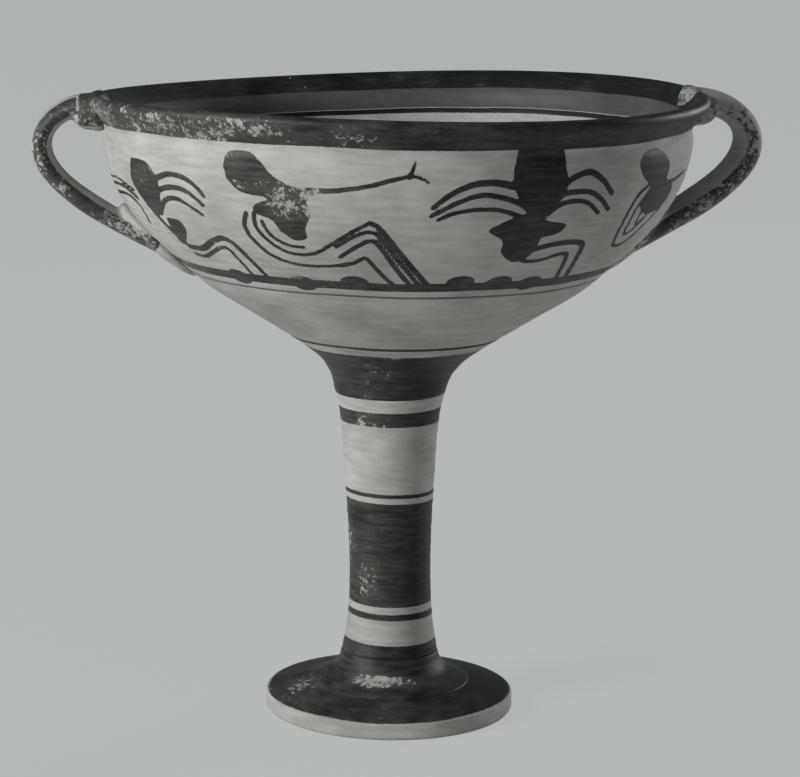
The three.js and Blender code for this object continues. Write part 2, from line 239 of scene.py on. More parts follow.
def make_object(name, places, faces, values):
    """A smooth-shaded piece in metres, with one number of each kind at every vertex."""
    mesh = bpy.data.meshes.new(name)
    mesh.from_pydata((np.asarray(places) * MM).tolist(), [], faces)
    for key, numbers in values.items():
        layer = mesh.attributes.new(key, "FLOAT", "POINT")
        layer.data.foreach_set("value", np.asarray(numbers, np.float32).ravel())
    mesh.polygons.foreach_set("use_smooth", [True] * len(mesh.polygons))
    mesh.update()
    piece = bpy.data.objects.new(name, mesh)
    bpy.context.scene.collection.objects.link(piece)
    return piece


def turned(name, outline, levels, columns, marks, figures=None):
    """Turns an outline about Z into a closed skin, with a pole wherever the outline meets the axis."""
    outline = np.asarray(outline, float)
    angles = np.linspace(0, 2 * math.pi, columns, endpoint=False)
    radius = outline[:, 0][:, None] + marks(outline, angles)
    grid = np.stack([radius * np.cos(angles), radius * np.sin(angles),
                     np.repeat(outline[:, 1][:, None], columns, 1)], -1)
    start = 1 if outline[0, 0] < ON_AXIS else 0
    stop = len(outline) - (1 if outline[-1, 0] < ON_AXIS else 0)
    body = grid[start:stop]
    rows = len(body)
    places = settle(body.reshape(-1, 3))
    level = np.repeat(np.asarray(levels)[start:stop], columns)
    index = np.arange(rows * columns).reshape(rows, columns)
    right = np.roll(index, -1, axis=1)
    pairs = [(r, r + 1) for r in range(rows - 1)]
    if start == 0 and stop == len(outline):
        pairs.append((rows - 1, 0))
    faces = []
    for low, high in pairs:
        faces += np.stack([index[low], right[low], right[high], index[high]], 1).tolist()
    if start == 1:
        pole = len(places)
        places = np.vstack([places, settle(np.array([[0, 0, outline[0, 1]]]))])
        level = np.append(level, levels[0])
        faces += np.stack([np.full(columns, pole), right[0], index[0]], 1).tolist()
    if stop < len(outline):
        pole = len(places)
        places = np.vstack([places, settle(np.array([[0, 0, outline[-1, 1]]]))])
        level = np.append(level, levels[-1])
        faces += np.stack([np.full(columns, pole), index[-1], right[-1]], 1).tolist()
    motif = np.full(len(places), FAR_OFF)
    if figures is not None:
        motif[:rows * columns] = figures(body).reshape(-1)
    return make_object(name, places, faces, {"level": level, "motif": motif, "wear_and_light": wear_and_lit_side_of(places)})


MEAN_WEAR = 0.24
# The swing round the pot is painted light: the slip is made paler towards the key lamp and darker on the
# shaded side.
WEAR_AND_LIGHT_SWING = 0.22
MOST_WORN_AND_LIT = 205  # direction from the axis, in degrees
# Worn places: direction and half-width in degrees, height and half-height, and how much more worn
WORN_PLACES = [
    (-105, 36, 12.6, 1.5, 0.46),
    (-152, 24, 190.5, 4.0, 0.18),
    (-118, 16, 191.0, 3.0, 0.18),
    (-128, 16, 46.0, 10.0, 0.06),
    (-114, 8, 173.0, 7.0, 0.24),
]


def wear_and_lit_side_of(places):
    """How worn the paint is, with painted light: most worn and paler at the left, towards the key lamp, and
    least at the right, in shade; the worn places add real wear.
    """
    heading = np.degrees(np.arctan2(places[:, 1], places[:, 0]))
    wear_and_light = MEAN_WEAR + WEAR_AND_LIGHT_SWING * np.cos(np.radians(heading - MOST_WORN_AND_LIT))
    for facing, spread, height, tall, more in WORN_PLACES:
        aside = ((heading - facing + 180) % 360 - 180) / spread
        wear_and_light = wear_and_light + more * np.exp(-aside ** 4 - ((places[:, 2] - height) / tall) ** 4)
    return wear_and_light


# The frieze, drawn on the photograph in pixels and cast onto the bowl
# A stroke is its width in millimetres at both ends, and the points that it runs through
STROKES = {
    "far_left_arms": [
        (1.2, 0.8, [(134, 190), (124, 182), (117, 177), (110, 175)]),
        (1.6, 1.0, [(138, 198), (127, 188), (118, 183), (112, 181.5)]),
        (1.6, 1.2, [(150, 222), (140, 205), (128, 194), (118, 191)]),
        (1.9, 1.5, [(156, 178), (168, 174), (182, 177), (194, 185), (204, 196)]),
        (1.9, 1.5, [(158, 190), (170, 187), (186, 191), (203, 205)]),
        (1.9, 1.3, [(161, 213), (164.6, 201), (172, 198), (182, 201), (203, 215)]),
    ],
    "far_left_tail": [
        (1.5, 2.2, [(134, 176), (142, 195), (158, 216), (176, 234), (189.5, 246)]),
        (2.4, 1.8, [(189.5, 246), (203, 248), (213, 241), (223, 238), (234, 244), (250, 259), (267, 276)]),
        (1.6, 1.4, [(196, 253.5), (206, 256), (216, 250), (223, 247), (231, 251), (252.5, 274)]),
    ],
    "middle_left_feeler": [
        (1.7, 1.3, [(300, 190), (330, 191), (350, 189), (370, 186), (390, 181), (411, 176)]),
        (1.3, 1.0, [(409, 178), (413, 170), (415, 162)]),
        (1.3, 0.9, [(411, 176), (420, 178), (429, 183)]),
    ],
    "middle_left_tail": [
        (1.6, 1.5, [(246, 213), (245, 226), (254, 240), (272, 255), (297, 264), (325, 266), (350, 263)]),
        (1.5, 1.3, [(254, 213), (256, 226), (268, 240), (288, 252), (312, 254), (332, 244), (352, 232),
                    (370, 223)]),
        (1.4, 1.3, [(262, 221), (270, 234), (286, 244), (304, 247)]),
        (1.7, 1.9, [(370, 223), (381, 230), (403, 257), (428, 286)]),
        (1.5, 1.7, [(340, 257), (358, 246), (371, 241), (380, 247), (396, 269), (413, 289)]),
        (1.4, 1.6, [(340, 266), (354, 263), (364, 258), (370, 262), (383, 276), (398, 289)]),
        (1.3, 1.5, [(336, 247), (353, 237), (370, 232), (381, 239), (400, 263), (420, 287)]),
    ],
    "middle_right_arms": [
        (2.2, 1.6, [(516, 187), (497, 183), (477.6, 184), (462, 189), (449, 196), (433, 208)]),
        (1.8, 1.5, [(533, 214), (519, 203), (494, 196), (478, 196), (460, 202), (431, 216)]),
        (1.6, 1.3, [(519, 216), (499, 210), (473, 210), (452, 214), (438, 220)]),
        (2.2, 1.8, [(560, 190), (570, 180), (589, 172), (602, 179), (612, 193)]),
        (1.9, 1.6, [(553, 203), (563, 195), (574, 192), (590, 192), (600, 198), (608, 209)]),
        (1.7, 1.4, [(548, 214), (560, 205), (574, 201), (588, 203), (598, 213)]),
    ],
    "middle_right_tail": [
        (2.2, 2.0, [(532, 250), (545, 246), (560, 243), (577, 242), (582, 246), (575, 260), (565.5, 276)]),
        (1.7, 1.7, [(512, 254), (524, 261), (540, 260), (556, 255), (566, 254), (562, 266), (552, 284)]),
    ],
    "far_right_tail": [
        (1.5, 1.4, [(648, 186), (637, 197), (625, 218), (615, 238), (613, 245), (622, 243), (640, 228),
                    (660, 207)]),
        (1.3, 1.3, [(650, 192), (640, 203), (629, 222), (624, 234), (636, 226), (654, 205)]),
        (1.1, 1.1, [(650, 199), (641, 212), (635, 224), (645, 216)]),
        (1.6, 1.2, [(668, 182), (676, 178), (684, 171)]),
    ],
}
# A patch is a closed outline
PATCHES = {
    "far_left_leaf": [(130.6, 157), (140, 159), (147, 163), (155, 175), (159, 188), (161, 215), (150, 207),
                      (139, 193), (131, 176)],
    "far_left_lobe": [(166, 217), (176, 219), (183, 224), (187, 233), (185, 244), (176, 236)],
    "middle_left_head": [(223, 163), (227, 153), (236, 150), (250, 152), (258, 159), (272, 175), (289, 185),
                         (316, 191), (306, 201), (311, 214), (305.6, 228), (307, 238), (295.6, 240),
                         (281, 231), (272, 220), (256, 213), (254, 205), (268, 198), (252, 195),
                         (238, 190), (227, 178)],
    "middle_right_head": [(520, 146), (560, 146), (566, 165), (568, 184), (562, 200), (550, 209), (546, 220),
                          (566, 224), (556, 234), (541, 238), (536, 248), (526, 258), (512, 262),
                          (501, 253), (502, 241), (488, 231), (500, 224), (518, 216), (532, 211),
                          (520, 200), (514, 184), (515, 165)],
    "far_right_head": [(656, 147), (665, 153), (670, 164), (667, 178), (672, 186), (662, 205), (645, 214),
                       (640, 203), (650, 186), (644, 178), (640, 164), (645, 152)],
}
# Tops of the lumps along the ground line
GROUND_LUMPS = [(234, 269), (300, 276), (353, 276), (463, 276), (502.5, 276), (534, 276)]
GROUND_LUMP_HEIGHT = 3.6
GROUND_LUMP_SPREAD = 1.5  # how much wider than tall
FRIEZE_BOTTOM = 138.0
FRIEZE_TOP = RIM_LEVEL - WALL
STROKE_REACH = 3.0  # distances are worked out this far round a figure
SIGHT_NEAR = 720.0
SIGHT_FAR = 960.0
SIGHT_STEP = 0.25


def turn_matrix(axis, degrees):
    """A turn about X or Z."""
    c, s = math.cos(math.radians(degrees)), math.sin(math.radians(degrees))
    if axis == "X":
        return np.array([[1, 0, 0], [0, c, -s], [0, s, c]])
    return np.array([[c, -s, 0], [s, c, 0], [0, 0, 1]])


CAMERA_AXES = (turn_matrix("Z", CAMERA_TURN + CAMERA_YAW) @ turn_matrix("X", 90 + CAMERA_PITCH)
               @ turn_matrix("Z", CAMERA_ROLL))
CAMERA_CENTRE = turn_matrix("Z", CAMERA_TURN) @ np.array(CAMERA_PLACE)


def on_bowl(pixels):
    """Where the photograph's pixels fall on the bowl's outside."""
    pixels = np.asarray(pixels, float)
    rays = np.stack([(pixels[:, 0] - PHOTO_WIDTH / 2) / CAMERA_LENS,
                     -(pixels[:, 1] - PHOTO_HEIGHT / 2) / CAMERA_LENS,
                     -np.ones(len(pixels))], 1) @ CAMERA_AXES.T
    rays /= np.linalg.norm(rays, axis=1)[:, None]
    reach = np.arange(SIGHT_NEAR, SIGHT_FAR, SIGHT_STEP)
    track = CAMERA_CENTRE + rays[:, None, :] * reach[None, :, None]
    x, y, z = track[..., 0], track[..., 1], track[..., 2]
    angle = np.arctan2(y, x) + math.radians(RIM_TWIST_ANGLE)
    turn = RIM_LIFT * np.cos(angle) + RIM_TWIST * np.sin(2 * angle)
    level = z - turn * ease(z, BOWL_LEVEL, RIM_LEVEL)
    depth = np.hypot(x, y) - bowl_radius(level)
    first = np.where((depth < 0).any(1), (depth < 0).argmax(1), depth.argmin(1))
    hit = track[np.arange(len(pixels)), first]
    return np.stack([hit[:, 0], hit[:, 1], level[np.arange(len(pixels)), first]], 1)


def stroke_distance(places, line, wide, narrow):
    """How far inside a tapering stroke each place lies, in millimetres."""
    best = np.full(len(places), FAR_OFF)
    count = len(line) - 1
    for i in range(count):
        a, b = line[i], line[i + 1]
        run = b - a
        share = np.clip(((places - a) @ run) / max(run @ run, 1e-9), 0, 1)
        gap = np.linalg.norm(places - a - share[:, None] * run, axis=1)
        half = mix(wide, narrow, (i + share) / count) / 2
        best = np.maximum(best, half - gap)
    return best


def patch_distance(places, outline):
    """How far inside a closed outline each place lies, in millimetres."""
    loop = np.vstack([outline, outline[:1]])
    gap = -stroke_distance(places, loop, 0, 0)
    flat = np.stack([np.arctan2(places[:, 0], -places[:, 1]), places[:, 2]], 1)
    ring = np.stack([np.arctan2(loop[:, 0], -loop[:, 1]), loop[:, 2]], 1)
    inside = np.zeros(len(places), bool)
    for a, b in zip(ring[:-1], ring[1:]):
        crosses = (a[1] > flat[:, 1]) != (b[1] > flat[:, 1])
        rise = b[1] - a[1] if abs(b[1] - a[1]) > 1e-9 else 1e-9
        inside ^= crosses & (flat[:, 0] < a[0] + (flat[:, 1] - a[1]) * (b[0] - a[0]) / rise)
    return np.where(inside, gap, -gap)


def smooth_line(points, steps=8):
    """A curve through the points, with the given steps between each two."""
    return spline(points, steps * (len(points) - 1))


def frieze(body):
    """Signed distance to the painted figures at each point of the bowl's skin, front and back."""
    rows, columns = body.shape[:2]
    flat = body.reshape(-1, 3)
    found = np.full(len(flat), FAR_OFF)
    outside = np.hypot(flat[:, 0], flat[:, 1]) > bowl_radius(flat[:, 2]) - WALL / 2
    band = outside & (flat[:, 2] > FRIEZE_BOTTOM) & (flat[:, 2] < FRIEZE_TOP)

    def around(line):
        low, high = line.min(0) - STROKE_REACH, line.max(0) + STROKE_REACH
        return np.where(band & ((flat > low) & (flat < high)).all(1))[0]

    for group in STROKES.values():
        for wide, narrow, pixels in group:
            line = on_bowl(smooth_line(pixels))
            near = around(line)
            found[near] = np.maximum(found[near], stroke_distance(flat[near], line, wide, narrow))
    for pixels in PATCHES.values():
        line = on_bowl(smooth_line(pixels + pixels[:1], 5)[:-1])
        near = around(line)
        found[near] = np.maximum(found[near], patch_distance(flat[near], line))
    near = np.where(band)[0]
    for lump in on_bowl(GROUND_LUMPS):
        middle = lump - np.array([0, 0, GROUND_LUMP_HEIGHT])
        away = (flat[near] - middle) / np.array([GROUND_LUMP_SPREAD, GROUND_LUMP_SPREAD, 1])
        found[near] = np.maximum(found[near], GROUND_LUMP_HEIGHT - np.linalg.norm(away, axis=1))
    found = found.reshape(rows, columns)
    return np.maximum(found, np.roll(found, columns // 2, axis=1))


# The thrown pieces

def bowl_marks(outline, angles):
    """Ridges up the bowl's wall, fading out at its seat and at the lip."""
    height = outline[:, 1][:, None]
    fade = ease(outline[:, 0], SEAT_RADIUS, 2 * SEAT_RADIUS)[:, None]
    depth = BOWL_RIDGES * fade * (1 - ease(height, RIM_LEVEL - WALL, RIM_LEVEL))
    return wheel_marks(height + 0.4 * outline[:, 0][:, None], angles[None, :], depth)


def side_marks(depth):
    """Ridges of one depth, fading out towards the axis."""
    def marks(outline, angles):
        height = outline[:, 1][:, None]
        away = np.minimum(outline[:, 0][:, None] / SMOOTH_CORE, 1) ** 8
        return wheel_marks(height, angles[None, :], depth * away)
    return marks


# Between these heights the bowl's mesh is fine enough for the frieze
FINE_FROM = 139.0
FINE_TO = 188.0
LIP_TURNS = 9


def make_bowl():
    """The bowl, from the middle of its seat up the outside, over the lip and down the inside."""
    height = SKIN[:, 1]
    low = respaced(SKIN[height < FINE_FROM], LOWER_BOWL_STEP)
    middle = respaced(SKIN[(height >= FINE_FROM) & (height <= FINE_TO)], FRIEZE_STEP)
    high = respaced(SKIN[height > FINE_TO], LIP_STEP)
    skin = np.vstack([low, middle, high])
    share = np.linspace(0, 1, len(SKIN))
    inner = shifted(SKIN, -mix(FLOOR, WALL, np.minimum(1, 3 * share)))
    inner = respaced(inner, INSIDE_STEP)[::-1]
    turns = -LIP_LEAN + math.pi * np.arange(1, LIP_TURNS) / LIP_TURNS
    lip = np.stack([LIP_MIDDLE[0] + LIP_ROUND * np.cos(turns),
                    LIP_MIDDLE[1] + LIP_ROUND * np.sin(turns)], 1)
    outline = np.vstack([[(0, BOWL_LEVEL)], skin, lip, inner, [(0, BOWL_LEVEL + FLOOR)]])
    over = len(skin) + 1 + len(lip) // 2
    levels = outline[:, 1].copy()
    levels[over:] = 2 * RIM_LEVEL - levels[over:]
    return turned("bowl_painted", outline, levels, BOWL_COLUMNS, bowl_marks, frieze)


def make_bowl_collar():
    """The flared ring of clay between the stem and the bowl."""
    skin = shifted(SKIN, CLOSE_FIT)
    under = skin[(skin[:, 0] > SEAT_RADIUS) & (skin[:, 0] < BOWL_COLLAR_RADIUS)]
    end = under[-1]
    low = BOWL_SHOULDER
    reach = end[0] - STEM_TOP_RADIUS
    rise = end[1] - low
    flare = respaced(spline([
        (STEM_TOP_RADIUS, low),
        (STEM_TOP_RADIUS + 0.09 * reach, low + 0.27 * rise),
        (STEM_TOP_RADIUS + 0.21 * reach, low + 0.44 * rise),
        (STEM_TOP_RADIUS + 0.38 * reach, low + 0.61 * rise),
        (STEM_TOP_RADIUS + 0.7 * reach, low + 0.82 * rise),
        (end[0], end[1] - 2 * CLOSE_FIT),
    ], 80), 0.7)
    inner = STEM_TOP_RADIUS - SPIGOT_STEP + CLOSE_FIT
    seat = BOWL_LEVEL - CLOSE_FIT
    outline = np.vstack([[(inner, low)], flare, respaced(under, 2.0)[::-1],
                         [(SEAT_RADIUS, seat)], [(inner, seat)]])
    return turned("stem_top_luting", outline, outline[:, 1], STEM_COLUMNS, side_marks(COLLAR_RIDGES))


def make_stem():
    """The stem, with the stepped ends that its collars hide."""
    side = respaced(stem_side(), SIDE_STEP)
    spigot = STEM_BASE_RADIUS - SPIGOT_STEP
    top = STEM_TOP_RADIUS - SPIGOT_STEP
    lower = [(0, STEM_FOOT_LEVEL), (spigot, STEM_FOOT_LEVEL), (spigot, FOOT_SHOULDER)]
    upper = [(top, BOWL_SHOULDER), (top, STEM_TOP_LEVEL), (0, STEM_TOP_LEVEL)]
    outline = np.vstack([lower, side, upper])
    return turned("stem_painted", outline, outline[:, 1], STEM_COLUMNS, side_marks(STEM_RIDGES))


def make_foot_collar():
    """The ring of clay in the corner between the foot and the stem."""
    reach = FOOT_COLLAR_RADIUS - STEM_BASE_RADIUS
    low = foot_top(FOOT_COLLAR_RADIUS)
    high = FOOT_SHOULDER
    hollow = respaced(spline([
        (FOOT_COLLAR_RADIUS, low + 2 * CLOSE_FIT),
        (STEM_BASE_RADIUS + 0.56 * reach, mix(low, high, 0.24)),
        (STEM_BASE_RADIUS + 0.27 * reach, mix(low, high, 0.43)),
        (STEM_BASE_RADIUS + 0.08 * reach, mix(low, high, 0.72)),
        (STEM_BASE_RADIUS, high),
    ], 60), 0.6)
    inner = STEM_BASE_RADIUS - SPIGOT_STEP + CLOSE_FIT
    radii = np.linspace(STEM_BASE_RADIUS, FOOT_COLLAR_RADIUS, 10)
    under = np.stack([radii, foot_top(radii) + 0.6 * CLOSE_FIT], 1)
    outline = np.vstack([[(inner, FOOT_SEAT_HEIGHT + CLOSE_FIT)], under, hollow, [(inner, high)]])
    return turned("stem_foot_luting", outline, outline[:, 1], STEM_COLUMNS, side_marks(COLLAR_RIDGES))


def make_foot():
    """The disc foot, from the middle of its dished underside out, up and in to the stem's seat."""
    ring_outer = FOOT_RADIUS - FOOT_EDGE_ROUND
    ring_inner = ring_outer - FOOT_RING_WIDTH
    share = np.linspace(0, 1, 24)
    dish = np.stack([ring_inner * share, FOOT_HOLLOW * (1 - share ** 2)], 1)
    ring = np.stack([np.linspace(ring_inner, ring_outer, 6)[1:-1], np.zeros(4)], 1)
    turns = np.radians(np.linspace(-90, 0, 6))
    corner = np.stack([ring_outer + FOOT_EDGE_ROUND * np.cos(turns),
                       FOOT_EDGE_ROUND + FOOT_EDGE_ROUND * np.sin(turns)], 1)
    edge_top = foot_top(ring_outer) - FOOT_EDGE_ROUND
    edge = np.stack([np.full(6, FOOT_RADIUS), np.linspace(FOOT_EDGE_ROUND, edge_top, 8)[1:-1]], 1)
    turns = np.radians(np.linspace(0, 70, 5))
    crown = np.stack([ring_outer + FOOT_EDGE_ROUND * np.cos(turns),
                      edge_top + FOOT_EDGE_ROUND * np.sin(turns)], 1)
    radii = np.linspace(ring_outer, STEM_BASE_RADIUS, 36)[1:]
    top = np.stack([radii, foot_top(radii)], 1)
    outline = np.vstack([dish, ring, corner, edge, crown, top, [(0, FOOT_SEAT_HEIGHT)]])
    levels = outline[:, 1].copy()
    under = len(dish) + len(ring)
    levels[:under] = 0
    return turned("foot_painted", outline, levels, FOOT_COLUMNS, side_marks(FOOT_RIDGES))


# The handles

def bezier(a, b, c, d, steps):
    """Points along a cubic curve."""
    t = np.linspace(0, 1, steps + 1)[:, None]
    return (1 - t) ** 3 * a + 3 * (1 - t) ** 2 * t * b + 3 * (1 - t) * t ** 2 * c + t ** 3 * d


def handle_line(handle):
    """Middle line of a handle in its own plane, from inside the lip to inside the lower wall."""
    outermost = np.array([LIP_RADIUS + handle["reach"], RIM_LEVEL - HANDLE_DROP])
    start = np.array([LIP_RADIUS - LIP_ROUND, RIM_LEVEL - HANDLE_RISE - 0.6 * handle["thickness"] / 2])
    root_height = RIM_LEVEL - HANDLE_ROOT_DROP
    root = np.array([bowl_radius(root_height) - 0.5 * WALL, root_height])
    arm = math.radians(HANDLE_ARM_SLOPE)
    upper = bezier(start, start + np.array([0.55 * handle["reach"], 0.5]),
                   np.array([outermost[0], mix(outermost[1], start[1], 0.6)]), outermost, 60)
    lower = bezier(outermost, outermost - np.array([0, 0.72 * HANDLE_DROP]),
                   root + HANDLE_ARM * np.array([math.cos(arm), math.sin(arm)]), root, 90)
    return respaced(np.vstack([upper, lower[1:]]), SIDE_STEP)


def strap_frame(line):
    """Which way the middle line runs at each of its points."""
    before = np.vstack([line[:1], line[:-1]])
    after = np.vstack([line[1:], line[-1:]])
    ahead = after - before
    return ahead / np.linalg.norm(ahead, axis=1)[:, None]


def strap_skin(handle):
    """The strap's oval loft, in its own plane: out, across and up."""
    line = handle_line(handle)
    ahead = strap_frame(line)
    t = np.linspace(0, 1, len(line))
    end = np.maximum.reduce([1 - 5 * t, np.zeros(len(t)), 1 - 4.5 * (1 - t)])
    wide = handle["width"] * mix(1, HANDLE_ENDS_FLARE, end ** 2) / 2
    wobble = 1 + 0.03 * np.sin(9 * t + handle["reach"]) + 0.02 * np.sin(23 * t)
    sides = STRAP_SIDES
    turns = 2 * math.pi * np.arange(sides) / sides
    across = wide[:, None] * np.cos(turns)
    through = (handle["thickness"] / 2 * wobble)[:, None] * np.sin(turns)
    x = line[:, 0][:, None] + ahead[:, 1][:, None] * through
    z = line[:, 1][:, None] - ahead[:, 0][:, None] * through
    places = np.stack([x, across, z], -1).reshape(-1, 3)
    index = np.arange(len(line) * sides).reshape(len(line), sides)
    right = np.roll(index, -1, axis=1)
    faces = []
    for low in range(len(line) - 1):
        faces += np.stack([index[low], index[low + 1], right[low + 1], right[low]], 1).tolist()
    faces.append(index[0].tolist())
    faces.append(index[-1][::-1].tolist())
    return places, faces


def ball(centre, half, tilt, rows=24, columns=40):
    """A squashed ball of clay, tilted in the handle's plane."""
    rise = np.linspace(0, math.pi, rows + 1)[1:-1]
    turns = 2 * math.pi * np.arange(columns) / columns
    out = half[0] * np.sin(rise)[:, None] * np.cos(turns)
    across = half[1] * np.sin(rise)[:, None] * np.sin(turns)
    up = np.repeat((half[2] * np.cos(rise))[:, None], columns, 1)
    places = np.stack([out, across, up], -1).reshape(-1, 3)
    places = np.vstack([places, [[0, 0, half[2]]], [[0, 0, -half[2]]]])
    c, s = math.cos(tilt), math.sin(tilt)
    turned_places = np.stack([c * places[:, 0] + s * places[:, 2], places[:, 1],
                              -s * places[:, 0] + c * places[:, 2]], 1) + np.array(centre)
    index = np.arange((rows - 1) * columns).reshape(rows - 1, columns)
    right = np.roll(index, -1, axis=1)
    faces = []
    for low in range(rows - 2):
        faces += np.stack([index[low], index[low + 1], right[low + 1], right[low]], 1).tolist()
    top, bottom = (rows - 1) * columns, (rows - 1) * columns + 1
    faces += np.stack([np.full(columns, top), index[0], right[0]], 1).tolist()
    faces += np.stack([np.full(columns, bottom), right[-1], index[-1]], 1).tolist()
    return turned_places, faces


# Clay over the lip: middle, and half-sizes out, across and up
RIM_PADS = [
    ((LIP_MIDDLE[0] - 1.2, 0, RIM_LEVEL - 5.2), (4.2, 14.0, 6.4)),
    ((LIP_MIDDLE[0] + 1.5, 0, RIM_LEVEL - 5.5), (5.5, 13.0, 5.6)),
]
# Clay on the wall round the lower root
ROOT_PAD_RISE = 3.4
ROOT_PAD = (3.4, 14.0, 16.5)
SLOPE_REACH = 4  # the wall's slope is taken this far above and below
# The press of a thumb in the clay inside the lip
THUMB_PRESS = (LIP_MIDDLE[0] - 6.0, 6.5, RIM_LEVEL - 3.5)
THUMB_RADIUS = 5.5
THUMB_DEPTH = 1.6
# Painted edges of the strap: shares of its width and length, and half the paint's thickness-wise width
EDGE_PAINT_FROM = 0.30
EDGE_PAINT_HALF = 2.6
EDGE_PAINT_SHIFT = 0.4
EDGE_PAINT_START = 0.05
EDGE_PAINT_END = 0.93
EDGE_PAINT_SHARPNESS = 60
# Painted clay over the lip
PAD_PAINT_DROP = 9.5
PAD_PAINT_REACH = 2.5
BARE_LEVEL = 160.0  # a height with no painted band
STRAP_SKIP = 4  # every fourth point of the middle line is close enough to measure from


def make_handle(handle):
    """A strap with the clay smoothed over both its ends, melted into one skin."""
    parts = [strap_skin(handle)]
    parts += [ball(centre, half, 0) for centre, half in RIM_PADS]
    height = RIM_LEVEL - HANDLE_ROOT_DROP + ROOT_PAD_RISE
    steep = math.atan2(bowl_radius(height + SLOPE_REACH) - bowl_radius(height - SLOPE_REACH), 2 * SLOPE_REACH)
    parts.append(ball((float(bowl_radius(height)), 0, height), ROOT_PAD, steep))
    places, faces = [], []
    for some, loops in parts:
        base = sum(len(p) for p in places)
        places.append(some)
        faces += [[base + i for i in loop] for loop in loops]
    rough = make_object("rough", np.vstack(places), faces, {})
    melt = rough.modifiers.new("melt", "REMESH")
    melt.mode = "VOXEL"
    melt.voxel_size = MELT_SIZE * MM
    soften = rough.modifiers.new("soften", "SMOOTH")
    soften.iterations = 9
    soften.factor = 0.5
    graph = bpy.context.evaluated_depsgraph_get()
    melted = bpy.data.meshes.new_from_object(rough.evaluated_get(graph))
    bpy.data.objects.remove(rough)
    points = np.empty(len(melted.vertices) * 3)
    melted.vertices.foreach_get("co", points)
    points = points.reshape(-1, 3) / MM
    loops = [list(face.vertices) for face in melted.polygons]
    bpy.data.meshes.remove(melted)
    press = np.linalg.norm(points - np.array(THUMB_PRESS), axis=1)
    points[:, 0] += THUMB_DEPTH * np.exp(-(press / THUMB_RADIUS) ** 4)
    line = handle_line(handle)
    ahead = strap_frame(line)
    gaps = np.linalg.norm(points[:, None, [0, 2]] - line[None, ::STRAP_SKIP], axis=2)
    nearest = gaps.argmin(1) * STRAP_SKIP
    offset = points[:, [0, 2]] - line[nearest]
    through = offset[:, 0] * ahead[nearest, 1] - offset[:, 1] * ahead[nearest, 0]
    share = nearest / (len(line) - 1)
    edge = np.abs(points[:, 1]) - handle["width"] * EDGE_PAINT_FROM
    stripe = np.minimum(edge, EDGE_PAINT_HALF - np.abs(through + EDGE_PAINT_SHIFT))
    ends = np.minimum(share - EDGE_PAINT_START, EDGE_PAINT_END - share)
    stripe = np.minimum(stripe, EDGE_PAINT_SHARPNESS * ends)
    pad = np.minimum(points[:, 2] - RIM_LEVEL + PAD_PAINT_DROP, LIP_RADIUS + PAD_PAINT_REACH - points[:, 0])
    stripe = np.maximum(stripe, pad)
    angle = math.radians(handle["angle"])
    c, s = math.cos(angle), math.sin(angle)
    x, y, z = points.T
    placed = settle(np.stack([c * x - s * y, s * x + c * y, z], 1))
    return make_object(f"handle_{handle['side']}_strap", placed, loops,
                       {"level": np.full(len(placed), BARE_LEVEL), "motif": stripe,
                        "wear_and_light": np.full(len(placed), handle["wear_and_light"])})


# Materials

class Nodes:
    """Short names for the shader nodes that the materials are made of."""

    def __init__(self, name):
        self.material = bpy.data.materials.new(name)
        self.material.use_nodes = True
        self.tree = self.material.node_tree
        self.tree.nodes.clear()

    def put(self, socket, value):
        if isinstance(value, bpy.types.NodeSocket):
            self.tree.links.new(value, socket)
        else:
            socket.default_value = value

    def math(self, operation, a, b=0.0, clamp=False):
        node = self.tree.nodes.new("ShaderNodeMath")
        node.operation = operation
        node.use_clamp = clamp
        self.put(node.inputs[0], a)
        self.put(node.inputs[1], b)
        return node.outputs[0]

    def value_of(self, attribute):
        node = self.tree.nodes.new("ShaderNodeAttribute")
        node.attribute_name = attribute
        return node.outputs["Fac"]

    def place(self, stretch):
        """Object coordinates in millimetres, stretched along each axis."""
        where = self.tree.nodes.new("ShaderNodeTexCoord")
        node = self.tree.nodes.new("ShaderNodeMapping")
        node.vector_type = "POINT"
        node.inputs["Scale"].default_value = [s / MM for s in stretch]
        self.tree.links.new(where.outputs["Object"], node.inputs["Vector"])
        return node.outputs[0]

    def noise(self, size, stretch=(1, 1, 1), detail=3.0, roughness=0.55, offset=0.0):
        """Noise with grains of about the size given, in millimetres."""
        node = self.tree.nodes.new("ShaderNodeTexNoise")
        node.noise_dimensions = "4D"
        node.inputs["Scale"].default_value = 1 / size
        node.inputs["Detail"].default_value = detail
        node.inputs["Roughness"].default_value = roughness
        node.inputs["W"].default_value = offset
        self.tree.links.new(self.place(stretch), node.inputs["Vector"])
        return node.outputs["Fac"]

    def step(self, value, low, high):
        """0 below low, 1 above high, and smooth between."""
        node = self.tree.nodes.new("ShaderNodeMapRange")
        node.interpolation_type = "SMOOTHSTEP"
        self.put(node.inputs["Value"], value)
        node.inputs["From Min"].default_value = low
        node.inputs["From Max"].default_value = high
        return node.outputs[0]

    def blend(self, share, a, b):
        node = self.tree.nodes.new("ShaderNodeMix")
        node.data_type = "RGBA"
        self.put(node.inputs[0], share)
        self.put(node.inputs[6], a)
        self.put(node.inputs[7], b)
        return node.outputs[2]

    def bump(self, height, distance, strength=1.0, after=None):
        node = self.tree.nodes.new("ShaderNodeBump")
        node.inputs["Distance"].default_value = distance * MM
        node.inputs["Strength"].default_value = strength
        self.put(node.inputs["Height"], height)
        if after is not None:
            self.put(node.inputs["Normal"], after)
        return node.outputs[0]

    def finish(self, colour, roughness, normal):
        shader = self.tree.nodes.new("ShaderNodeBsdfPrincipled")
        self.put(shader.inputs["Base Color"], colour)
        self.put(shader.inputs["Roughness"], roughness)
        self.put(shader.inputs["Normal"], normal)
        shader.inputs["Specular IOR Level"].default_value = CLAY_SHINE
        out = self.tree.nodes.new("ShaderNodeOutputMaterial")
        self.tree.links.new(shader.outputs[0], out.inputs["Surface"])
        return self.material


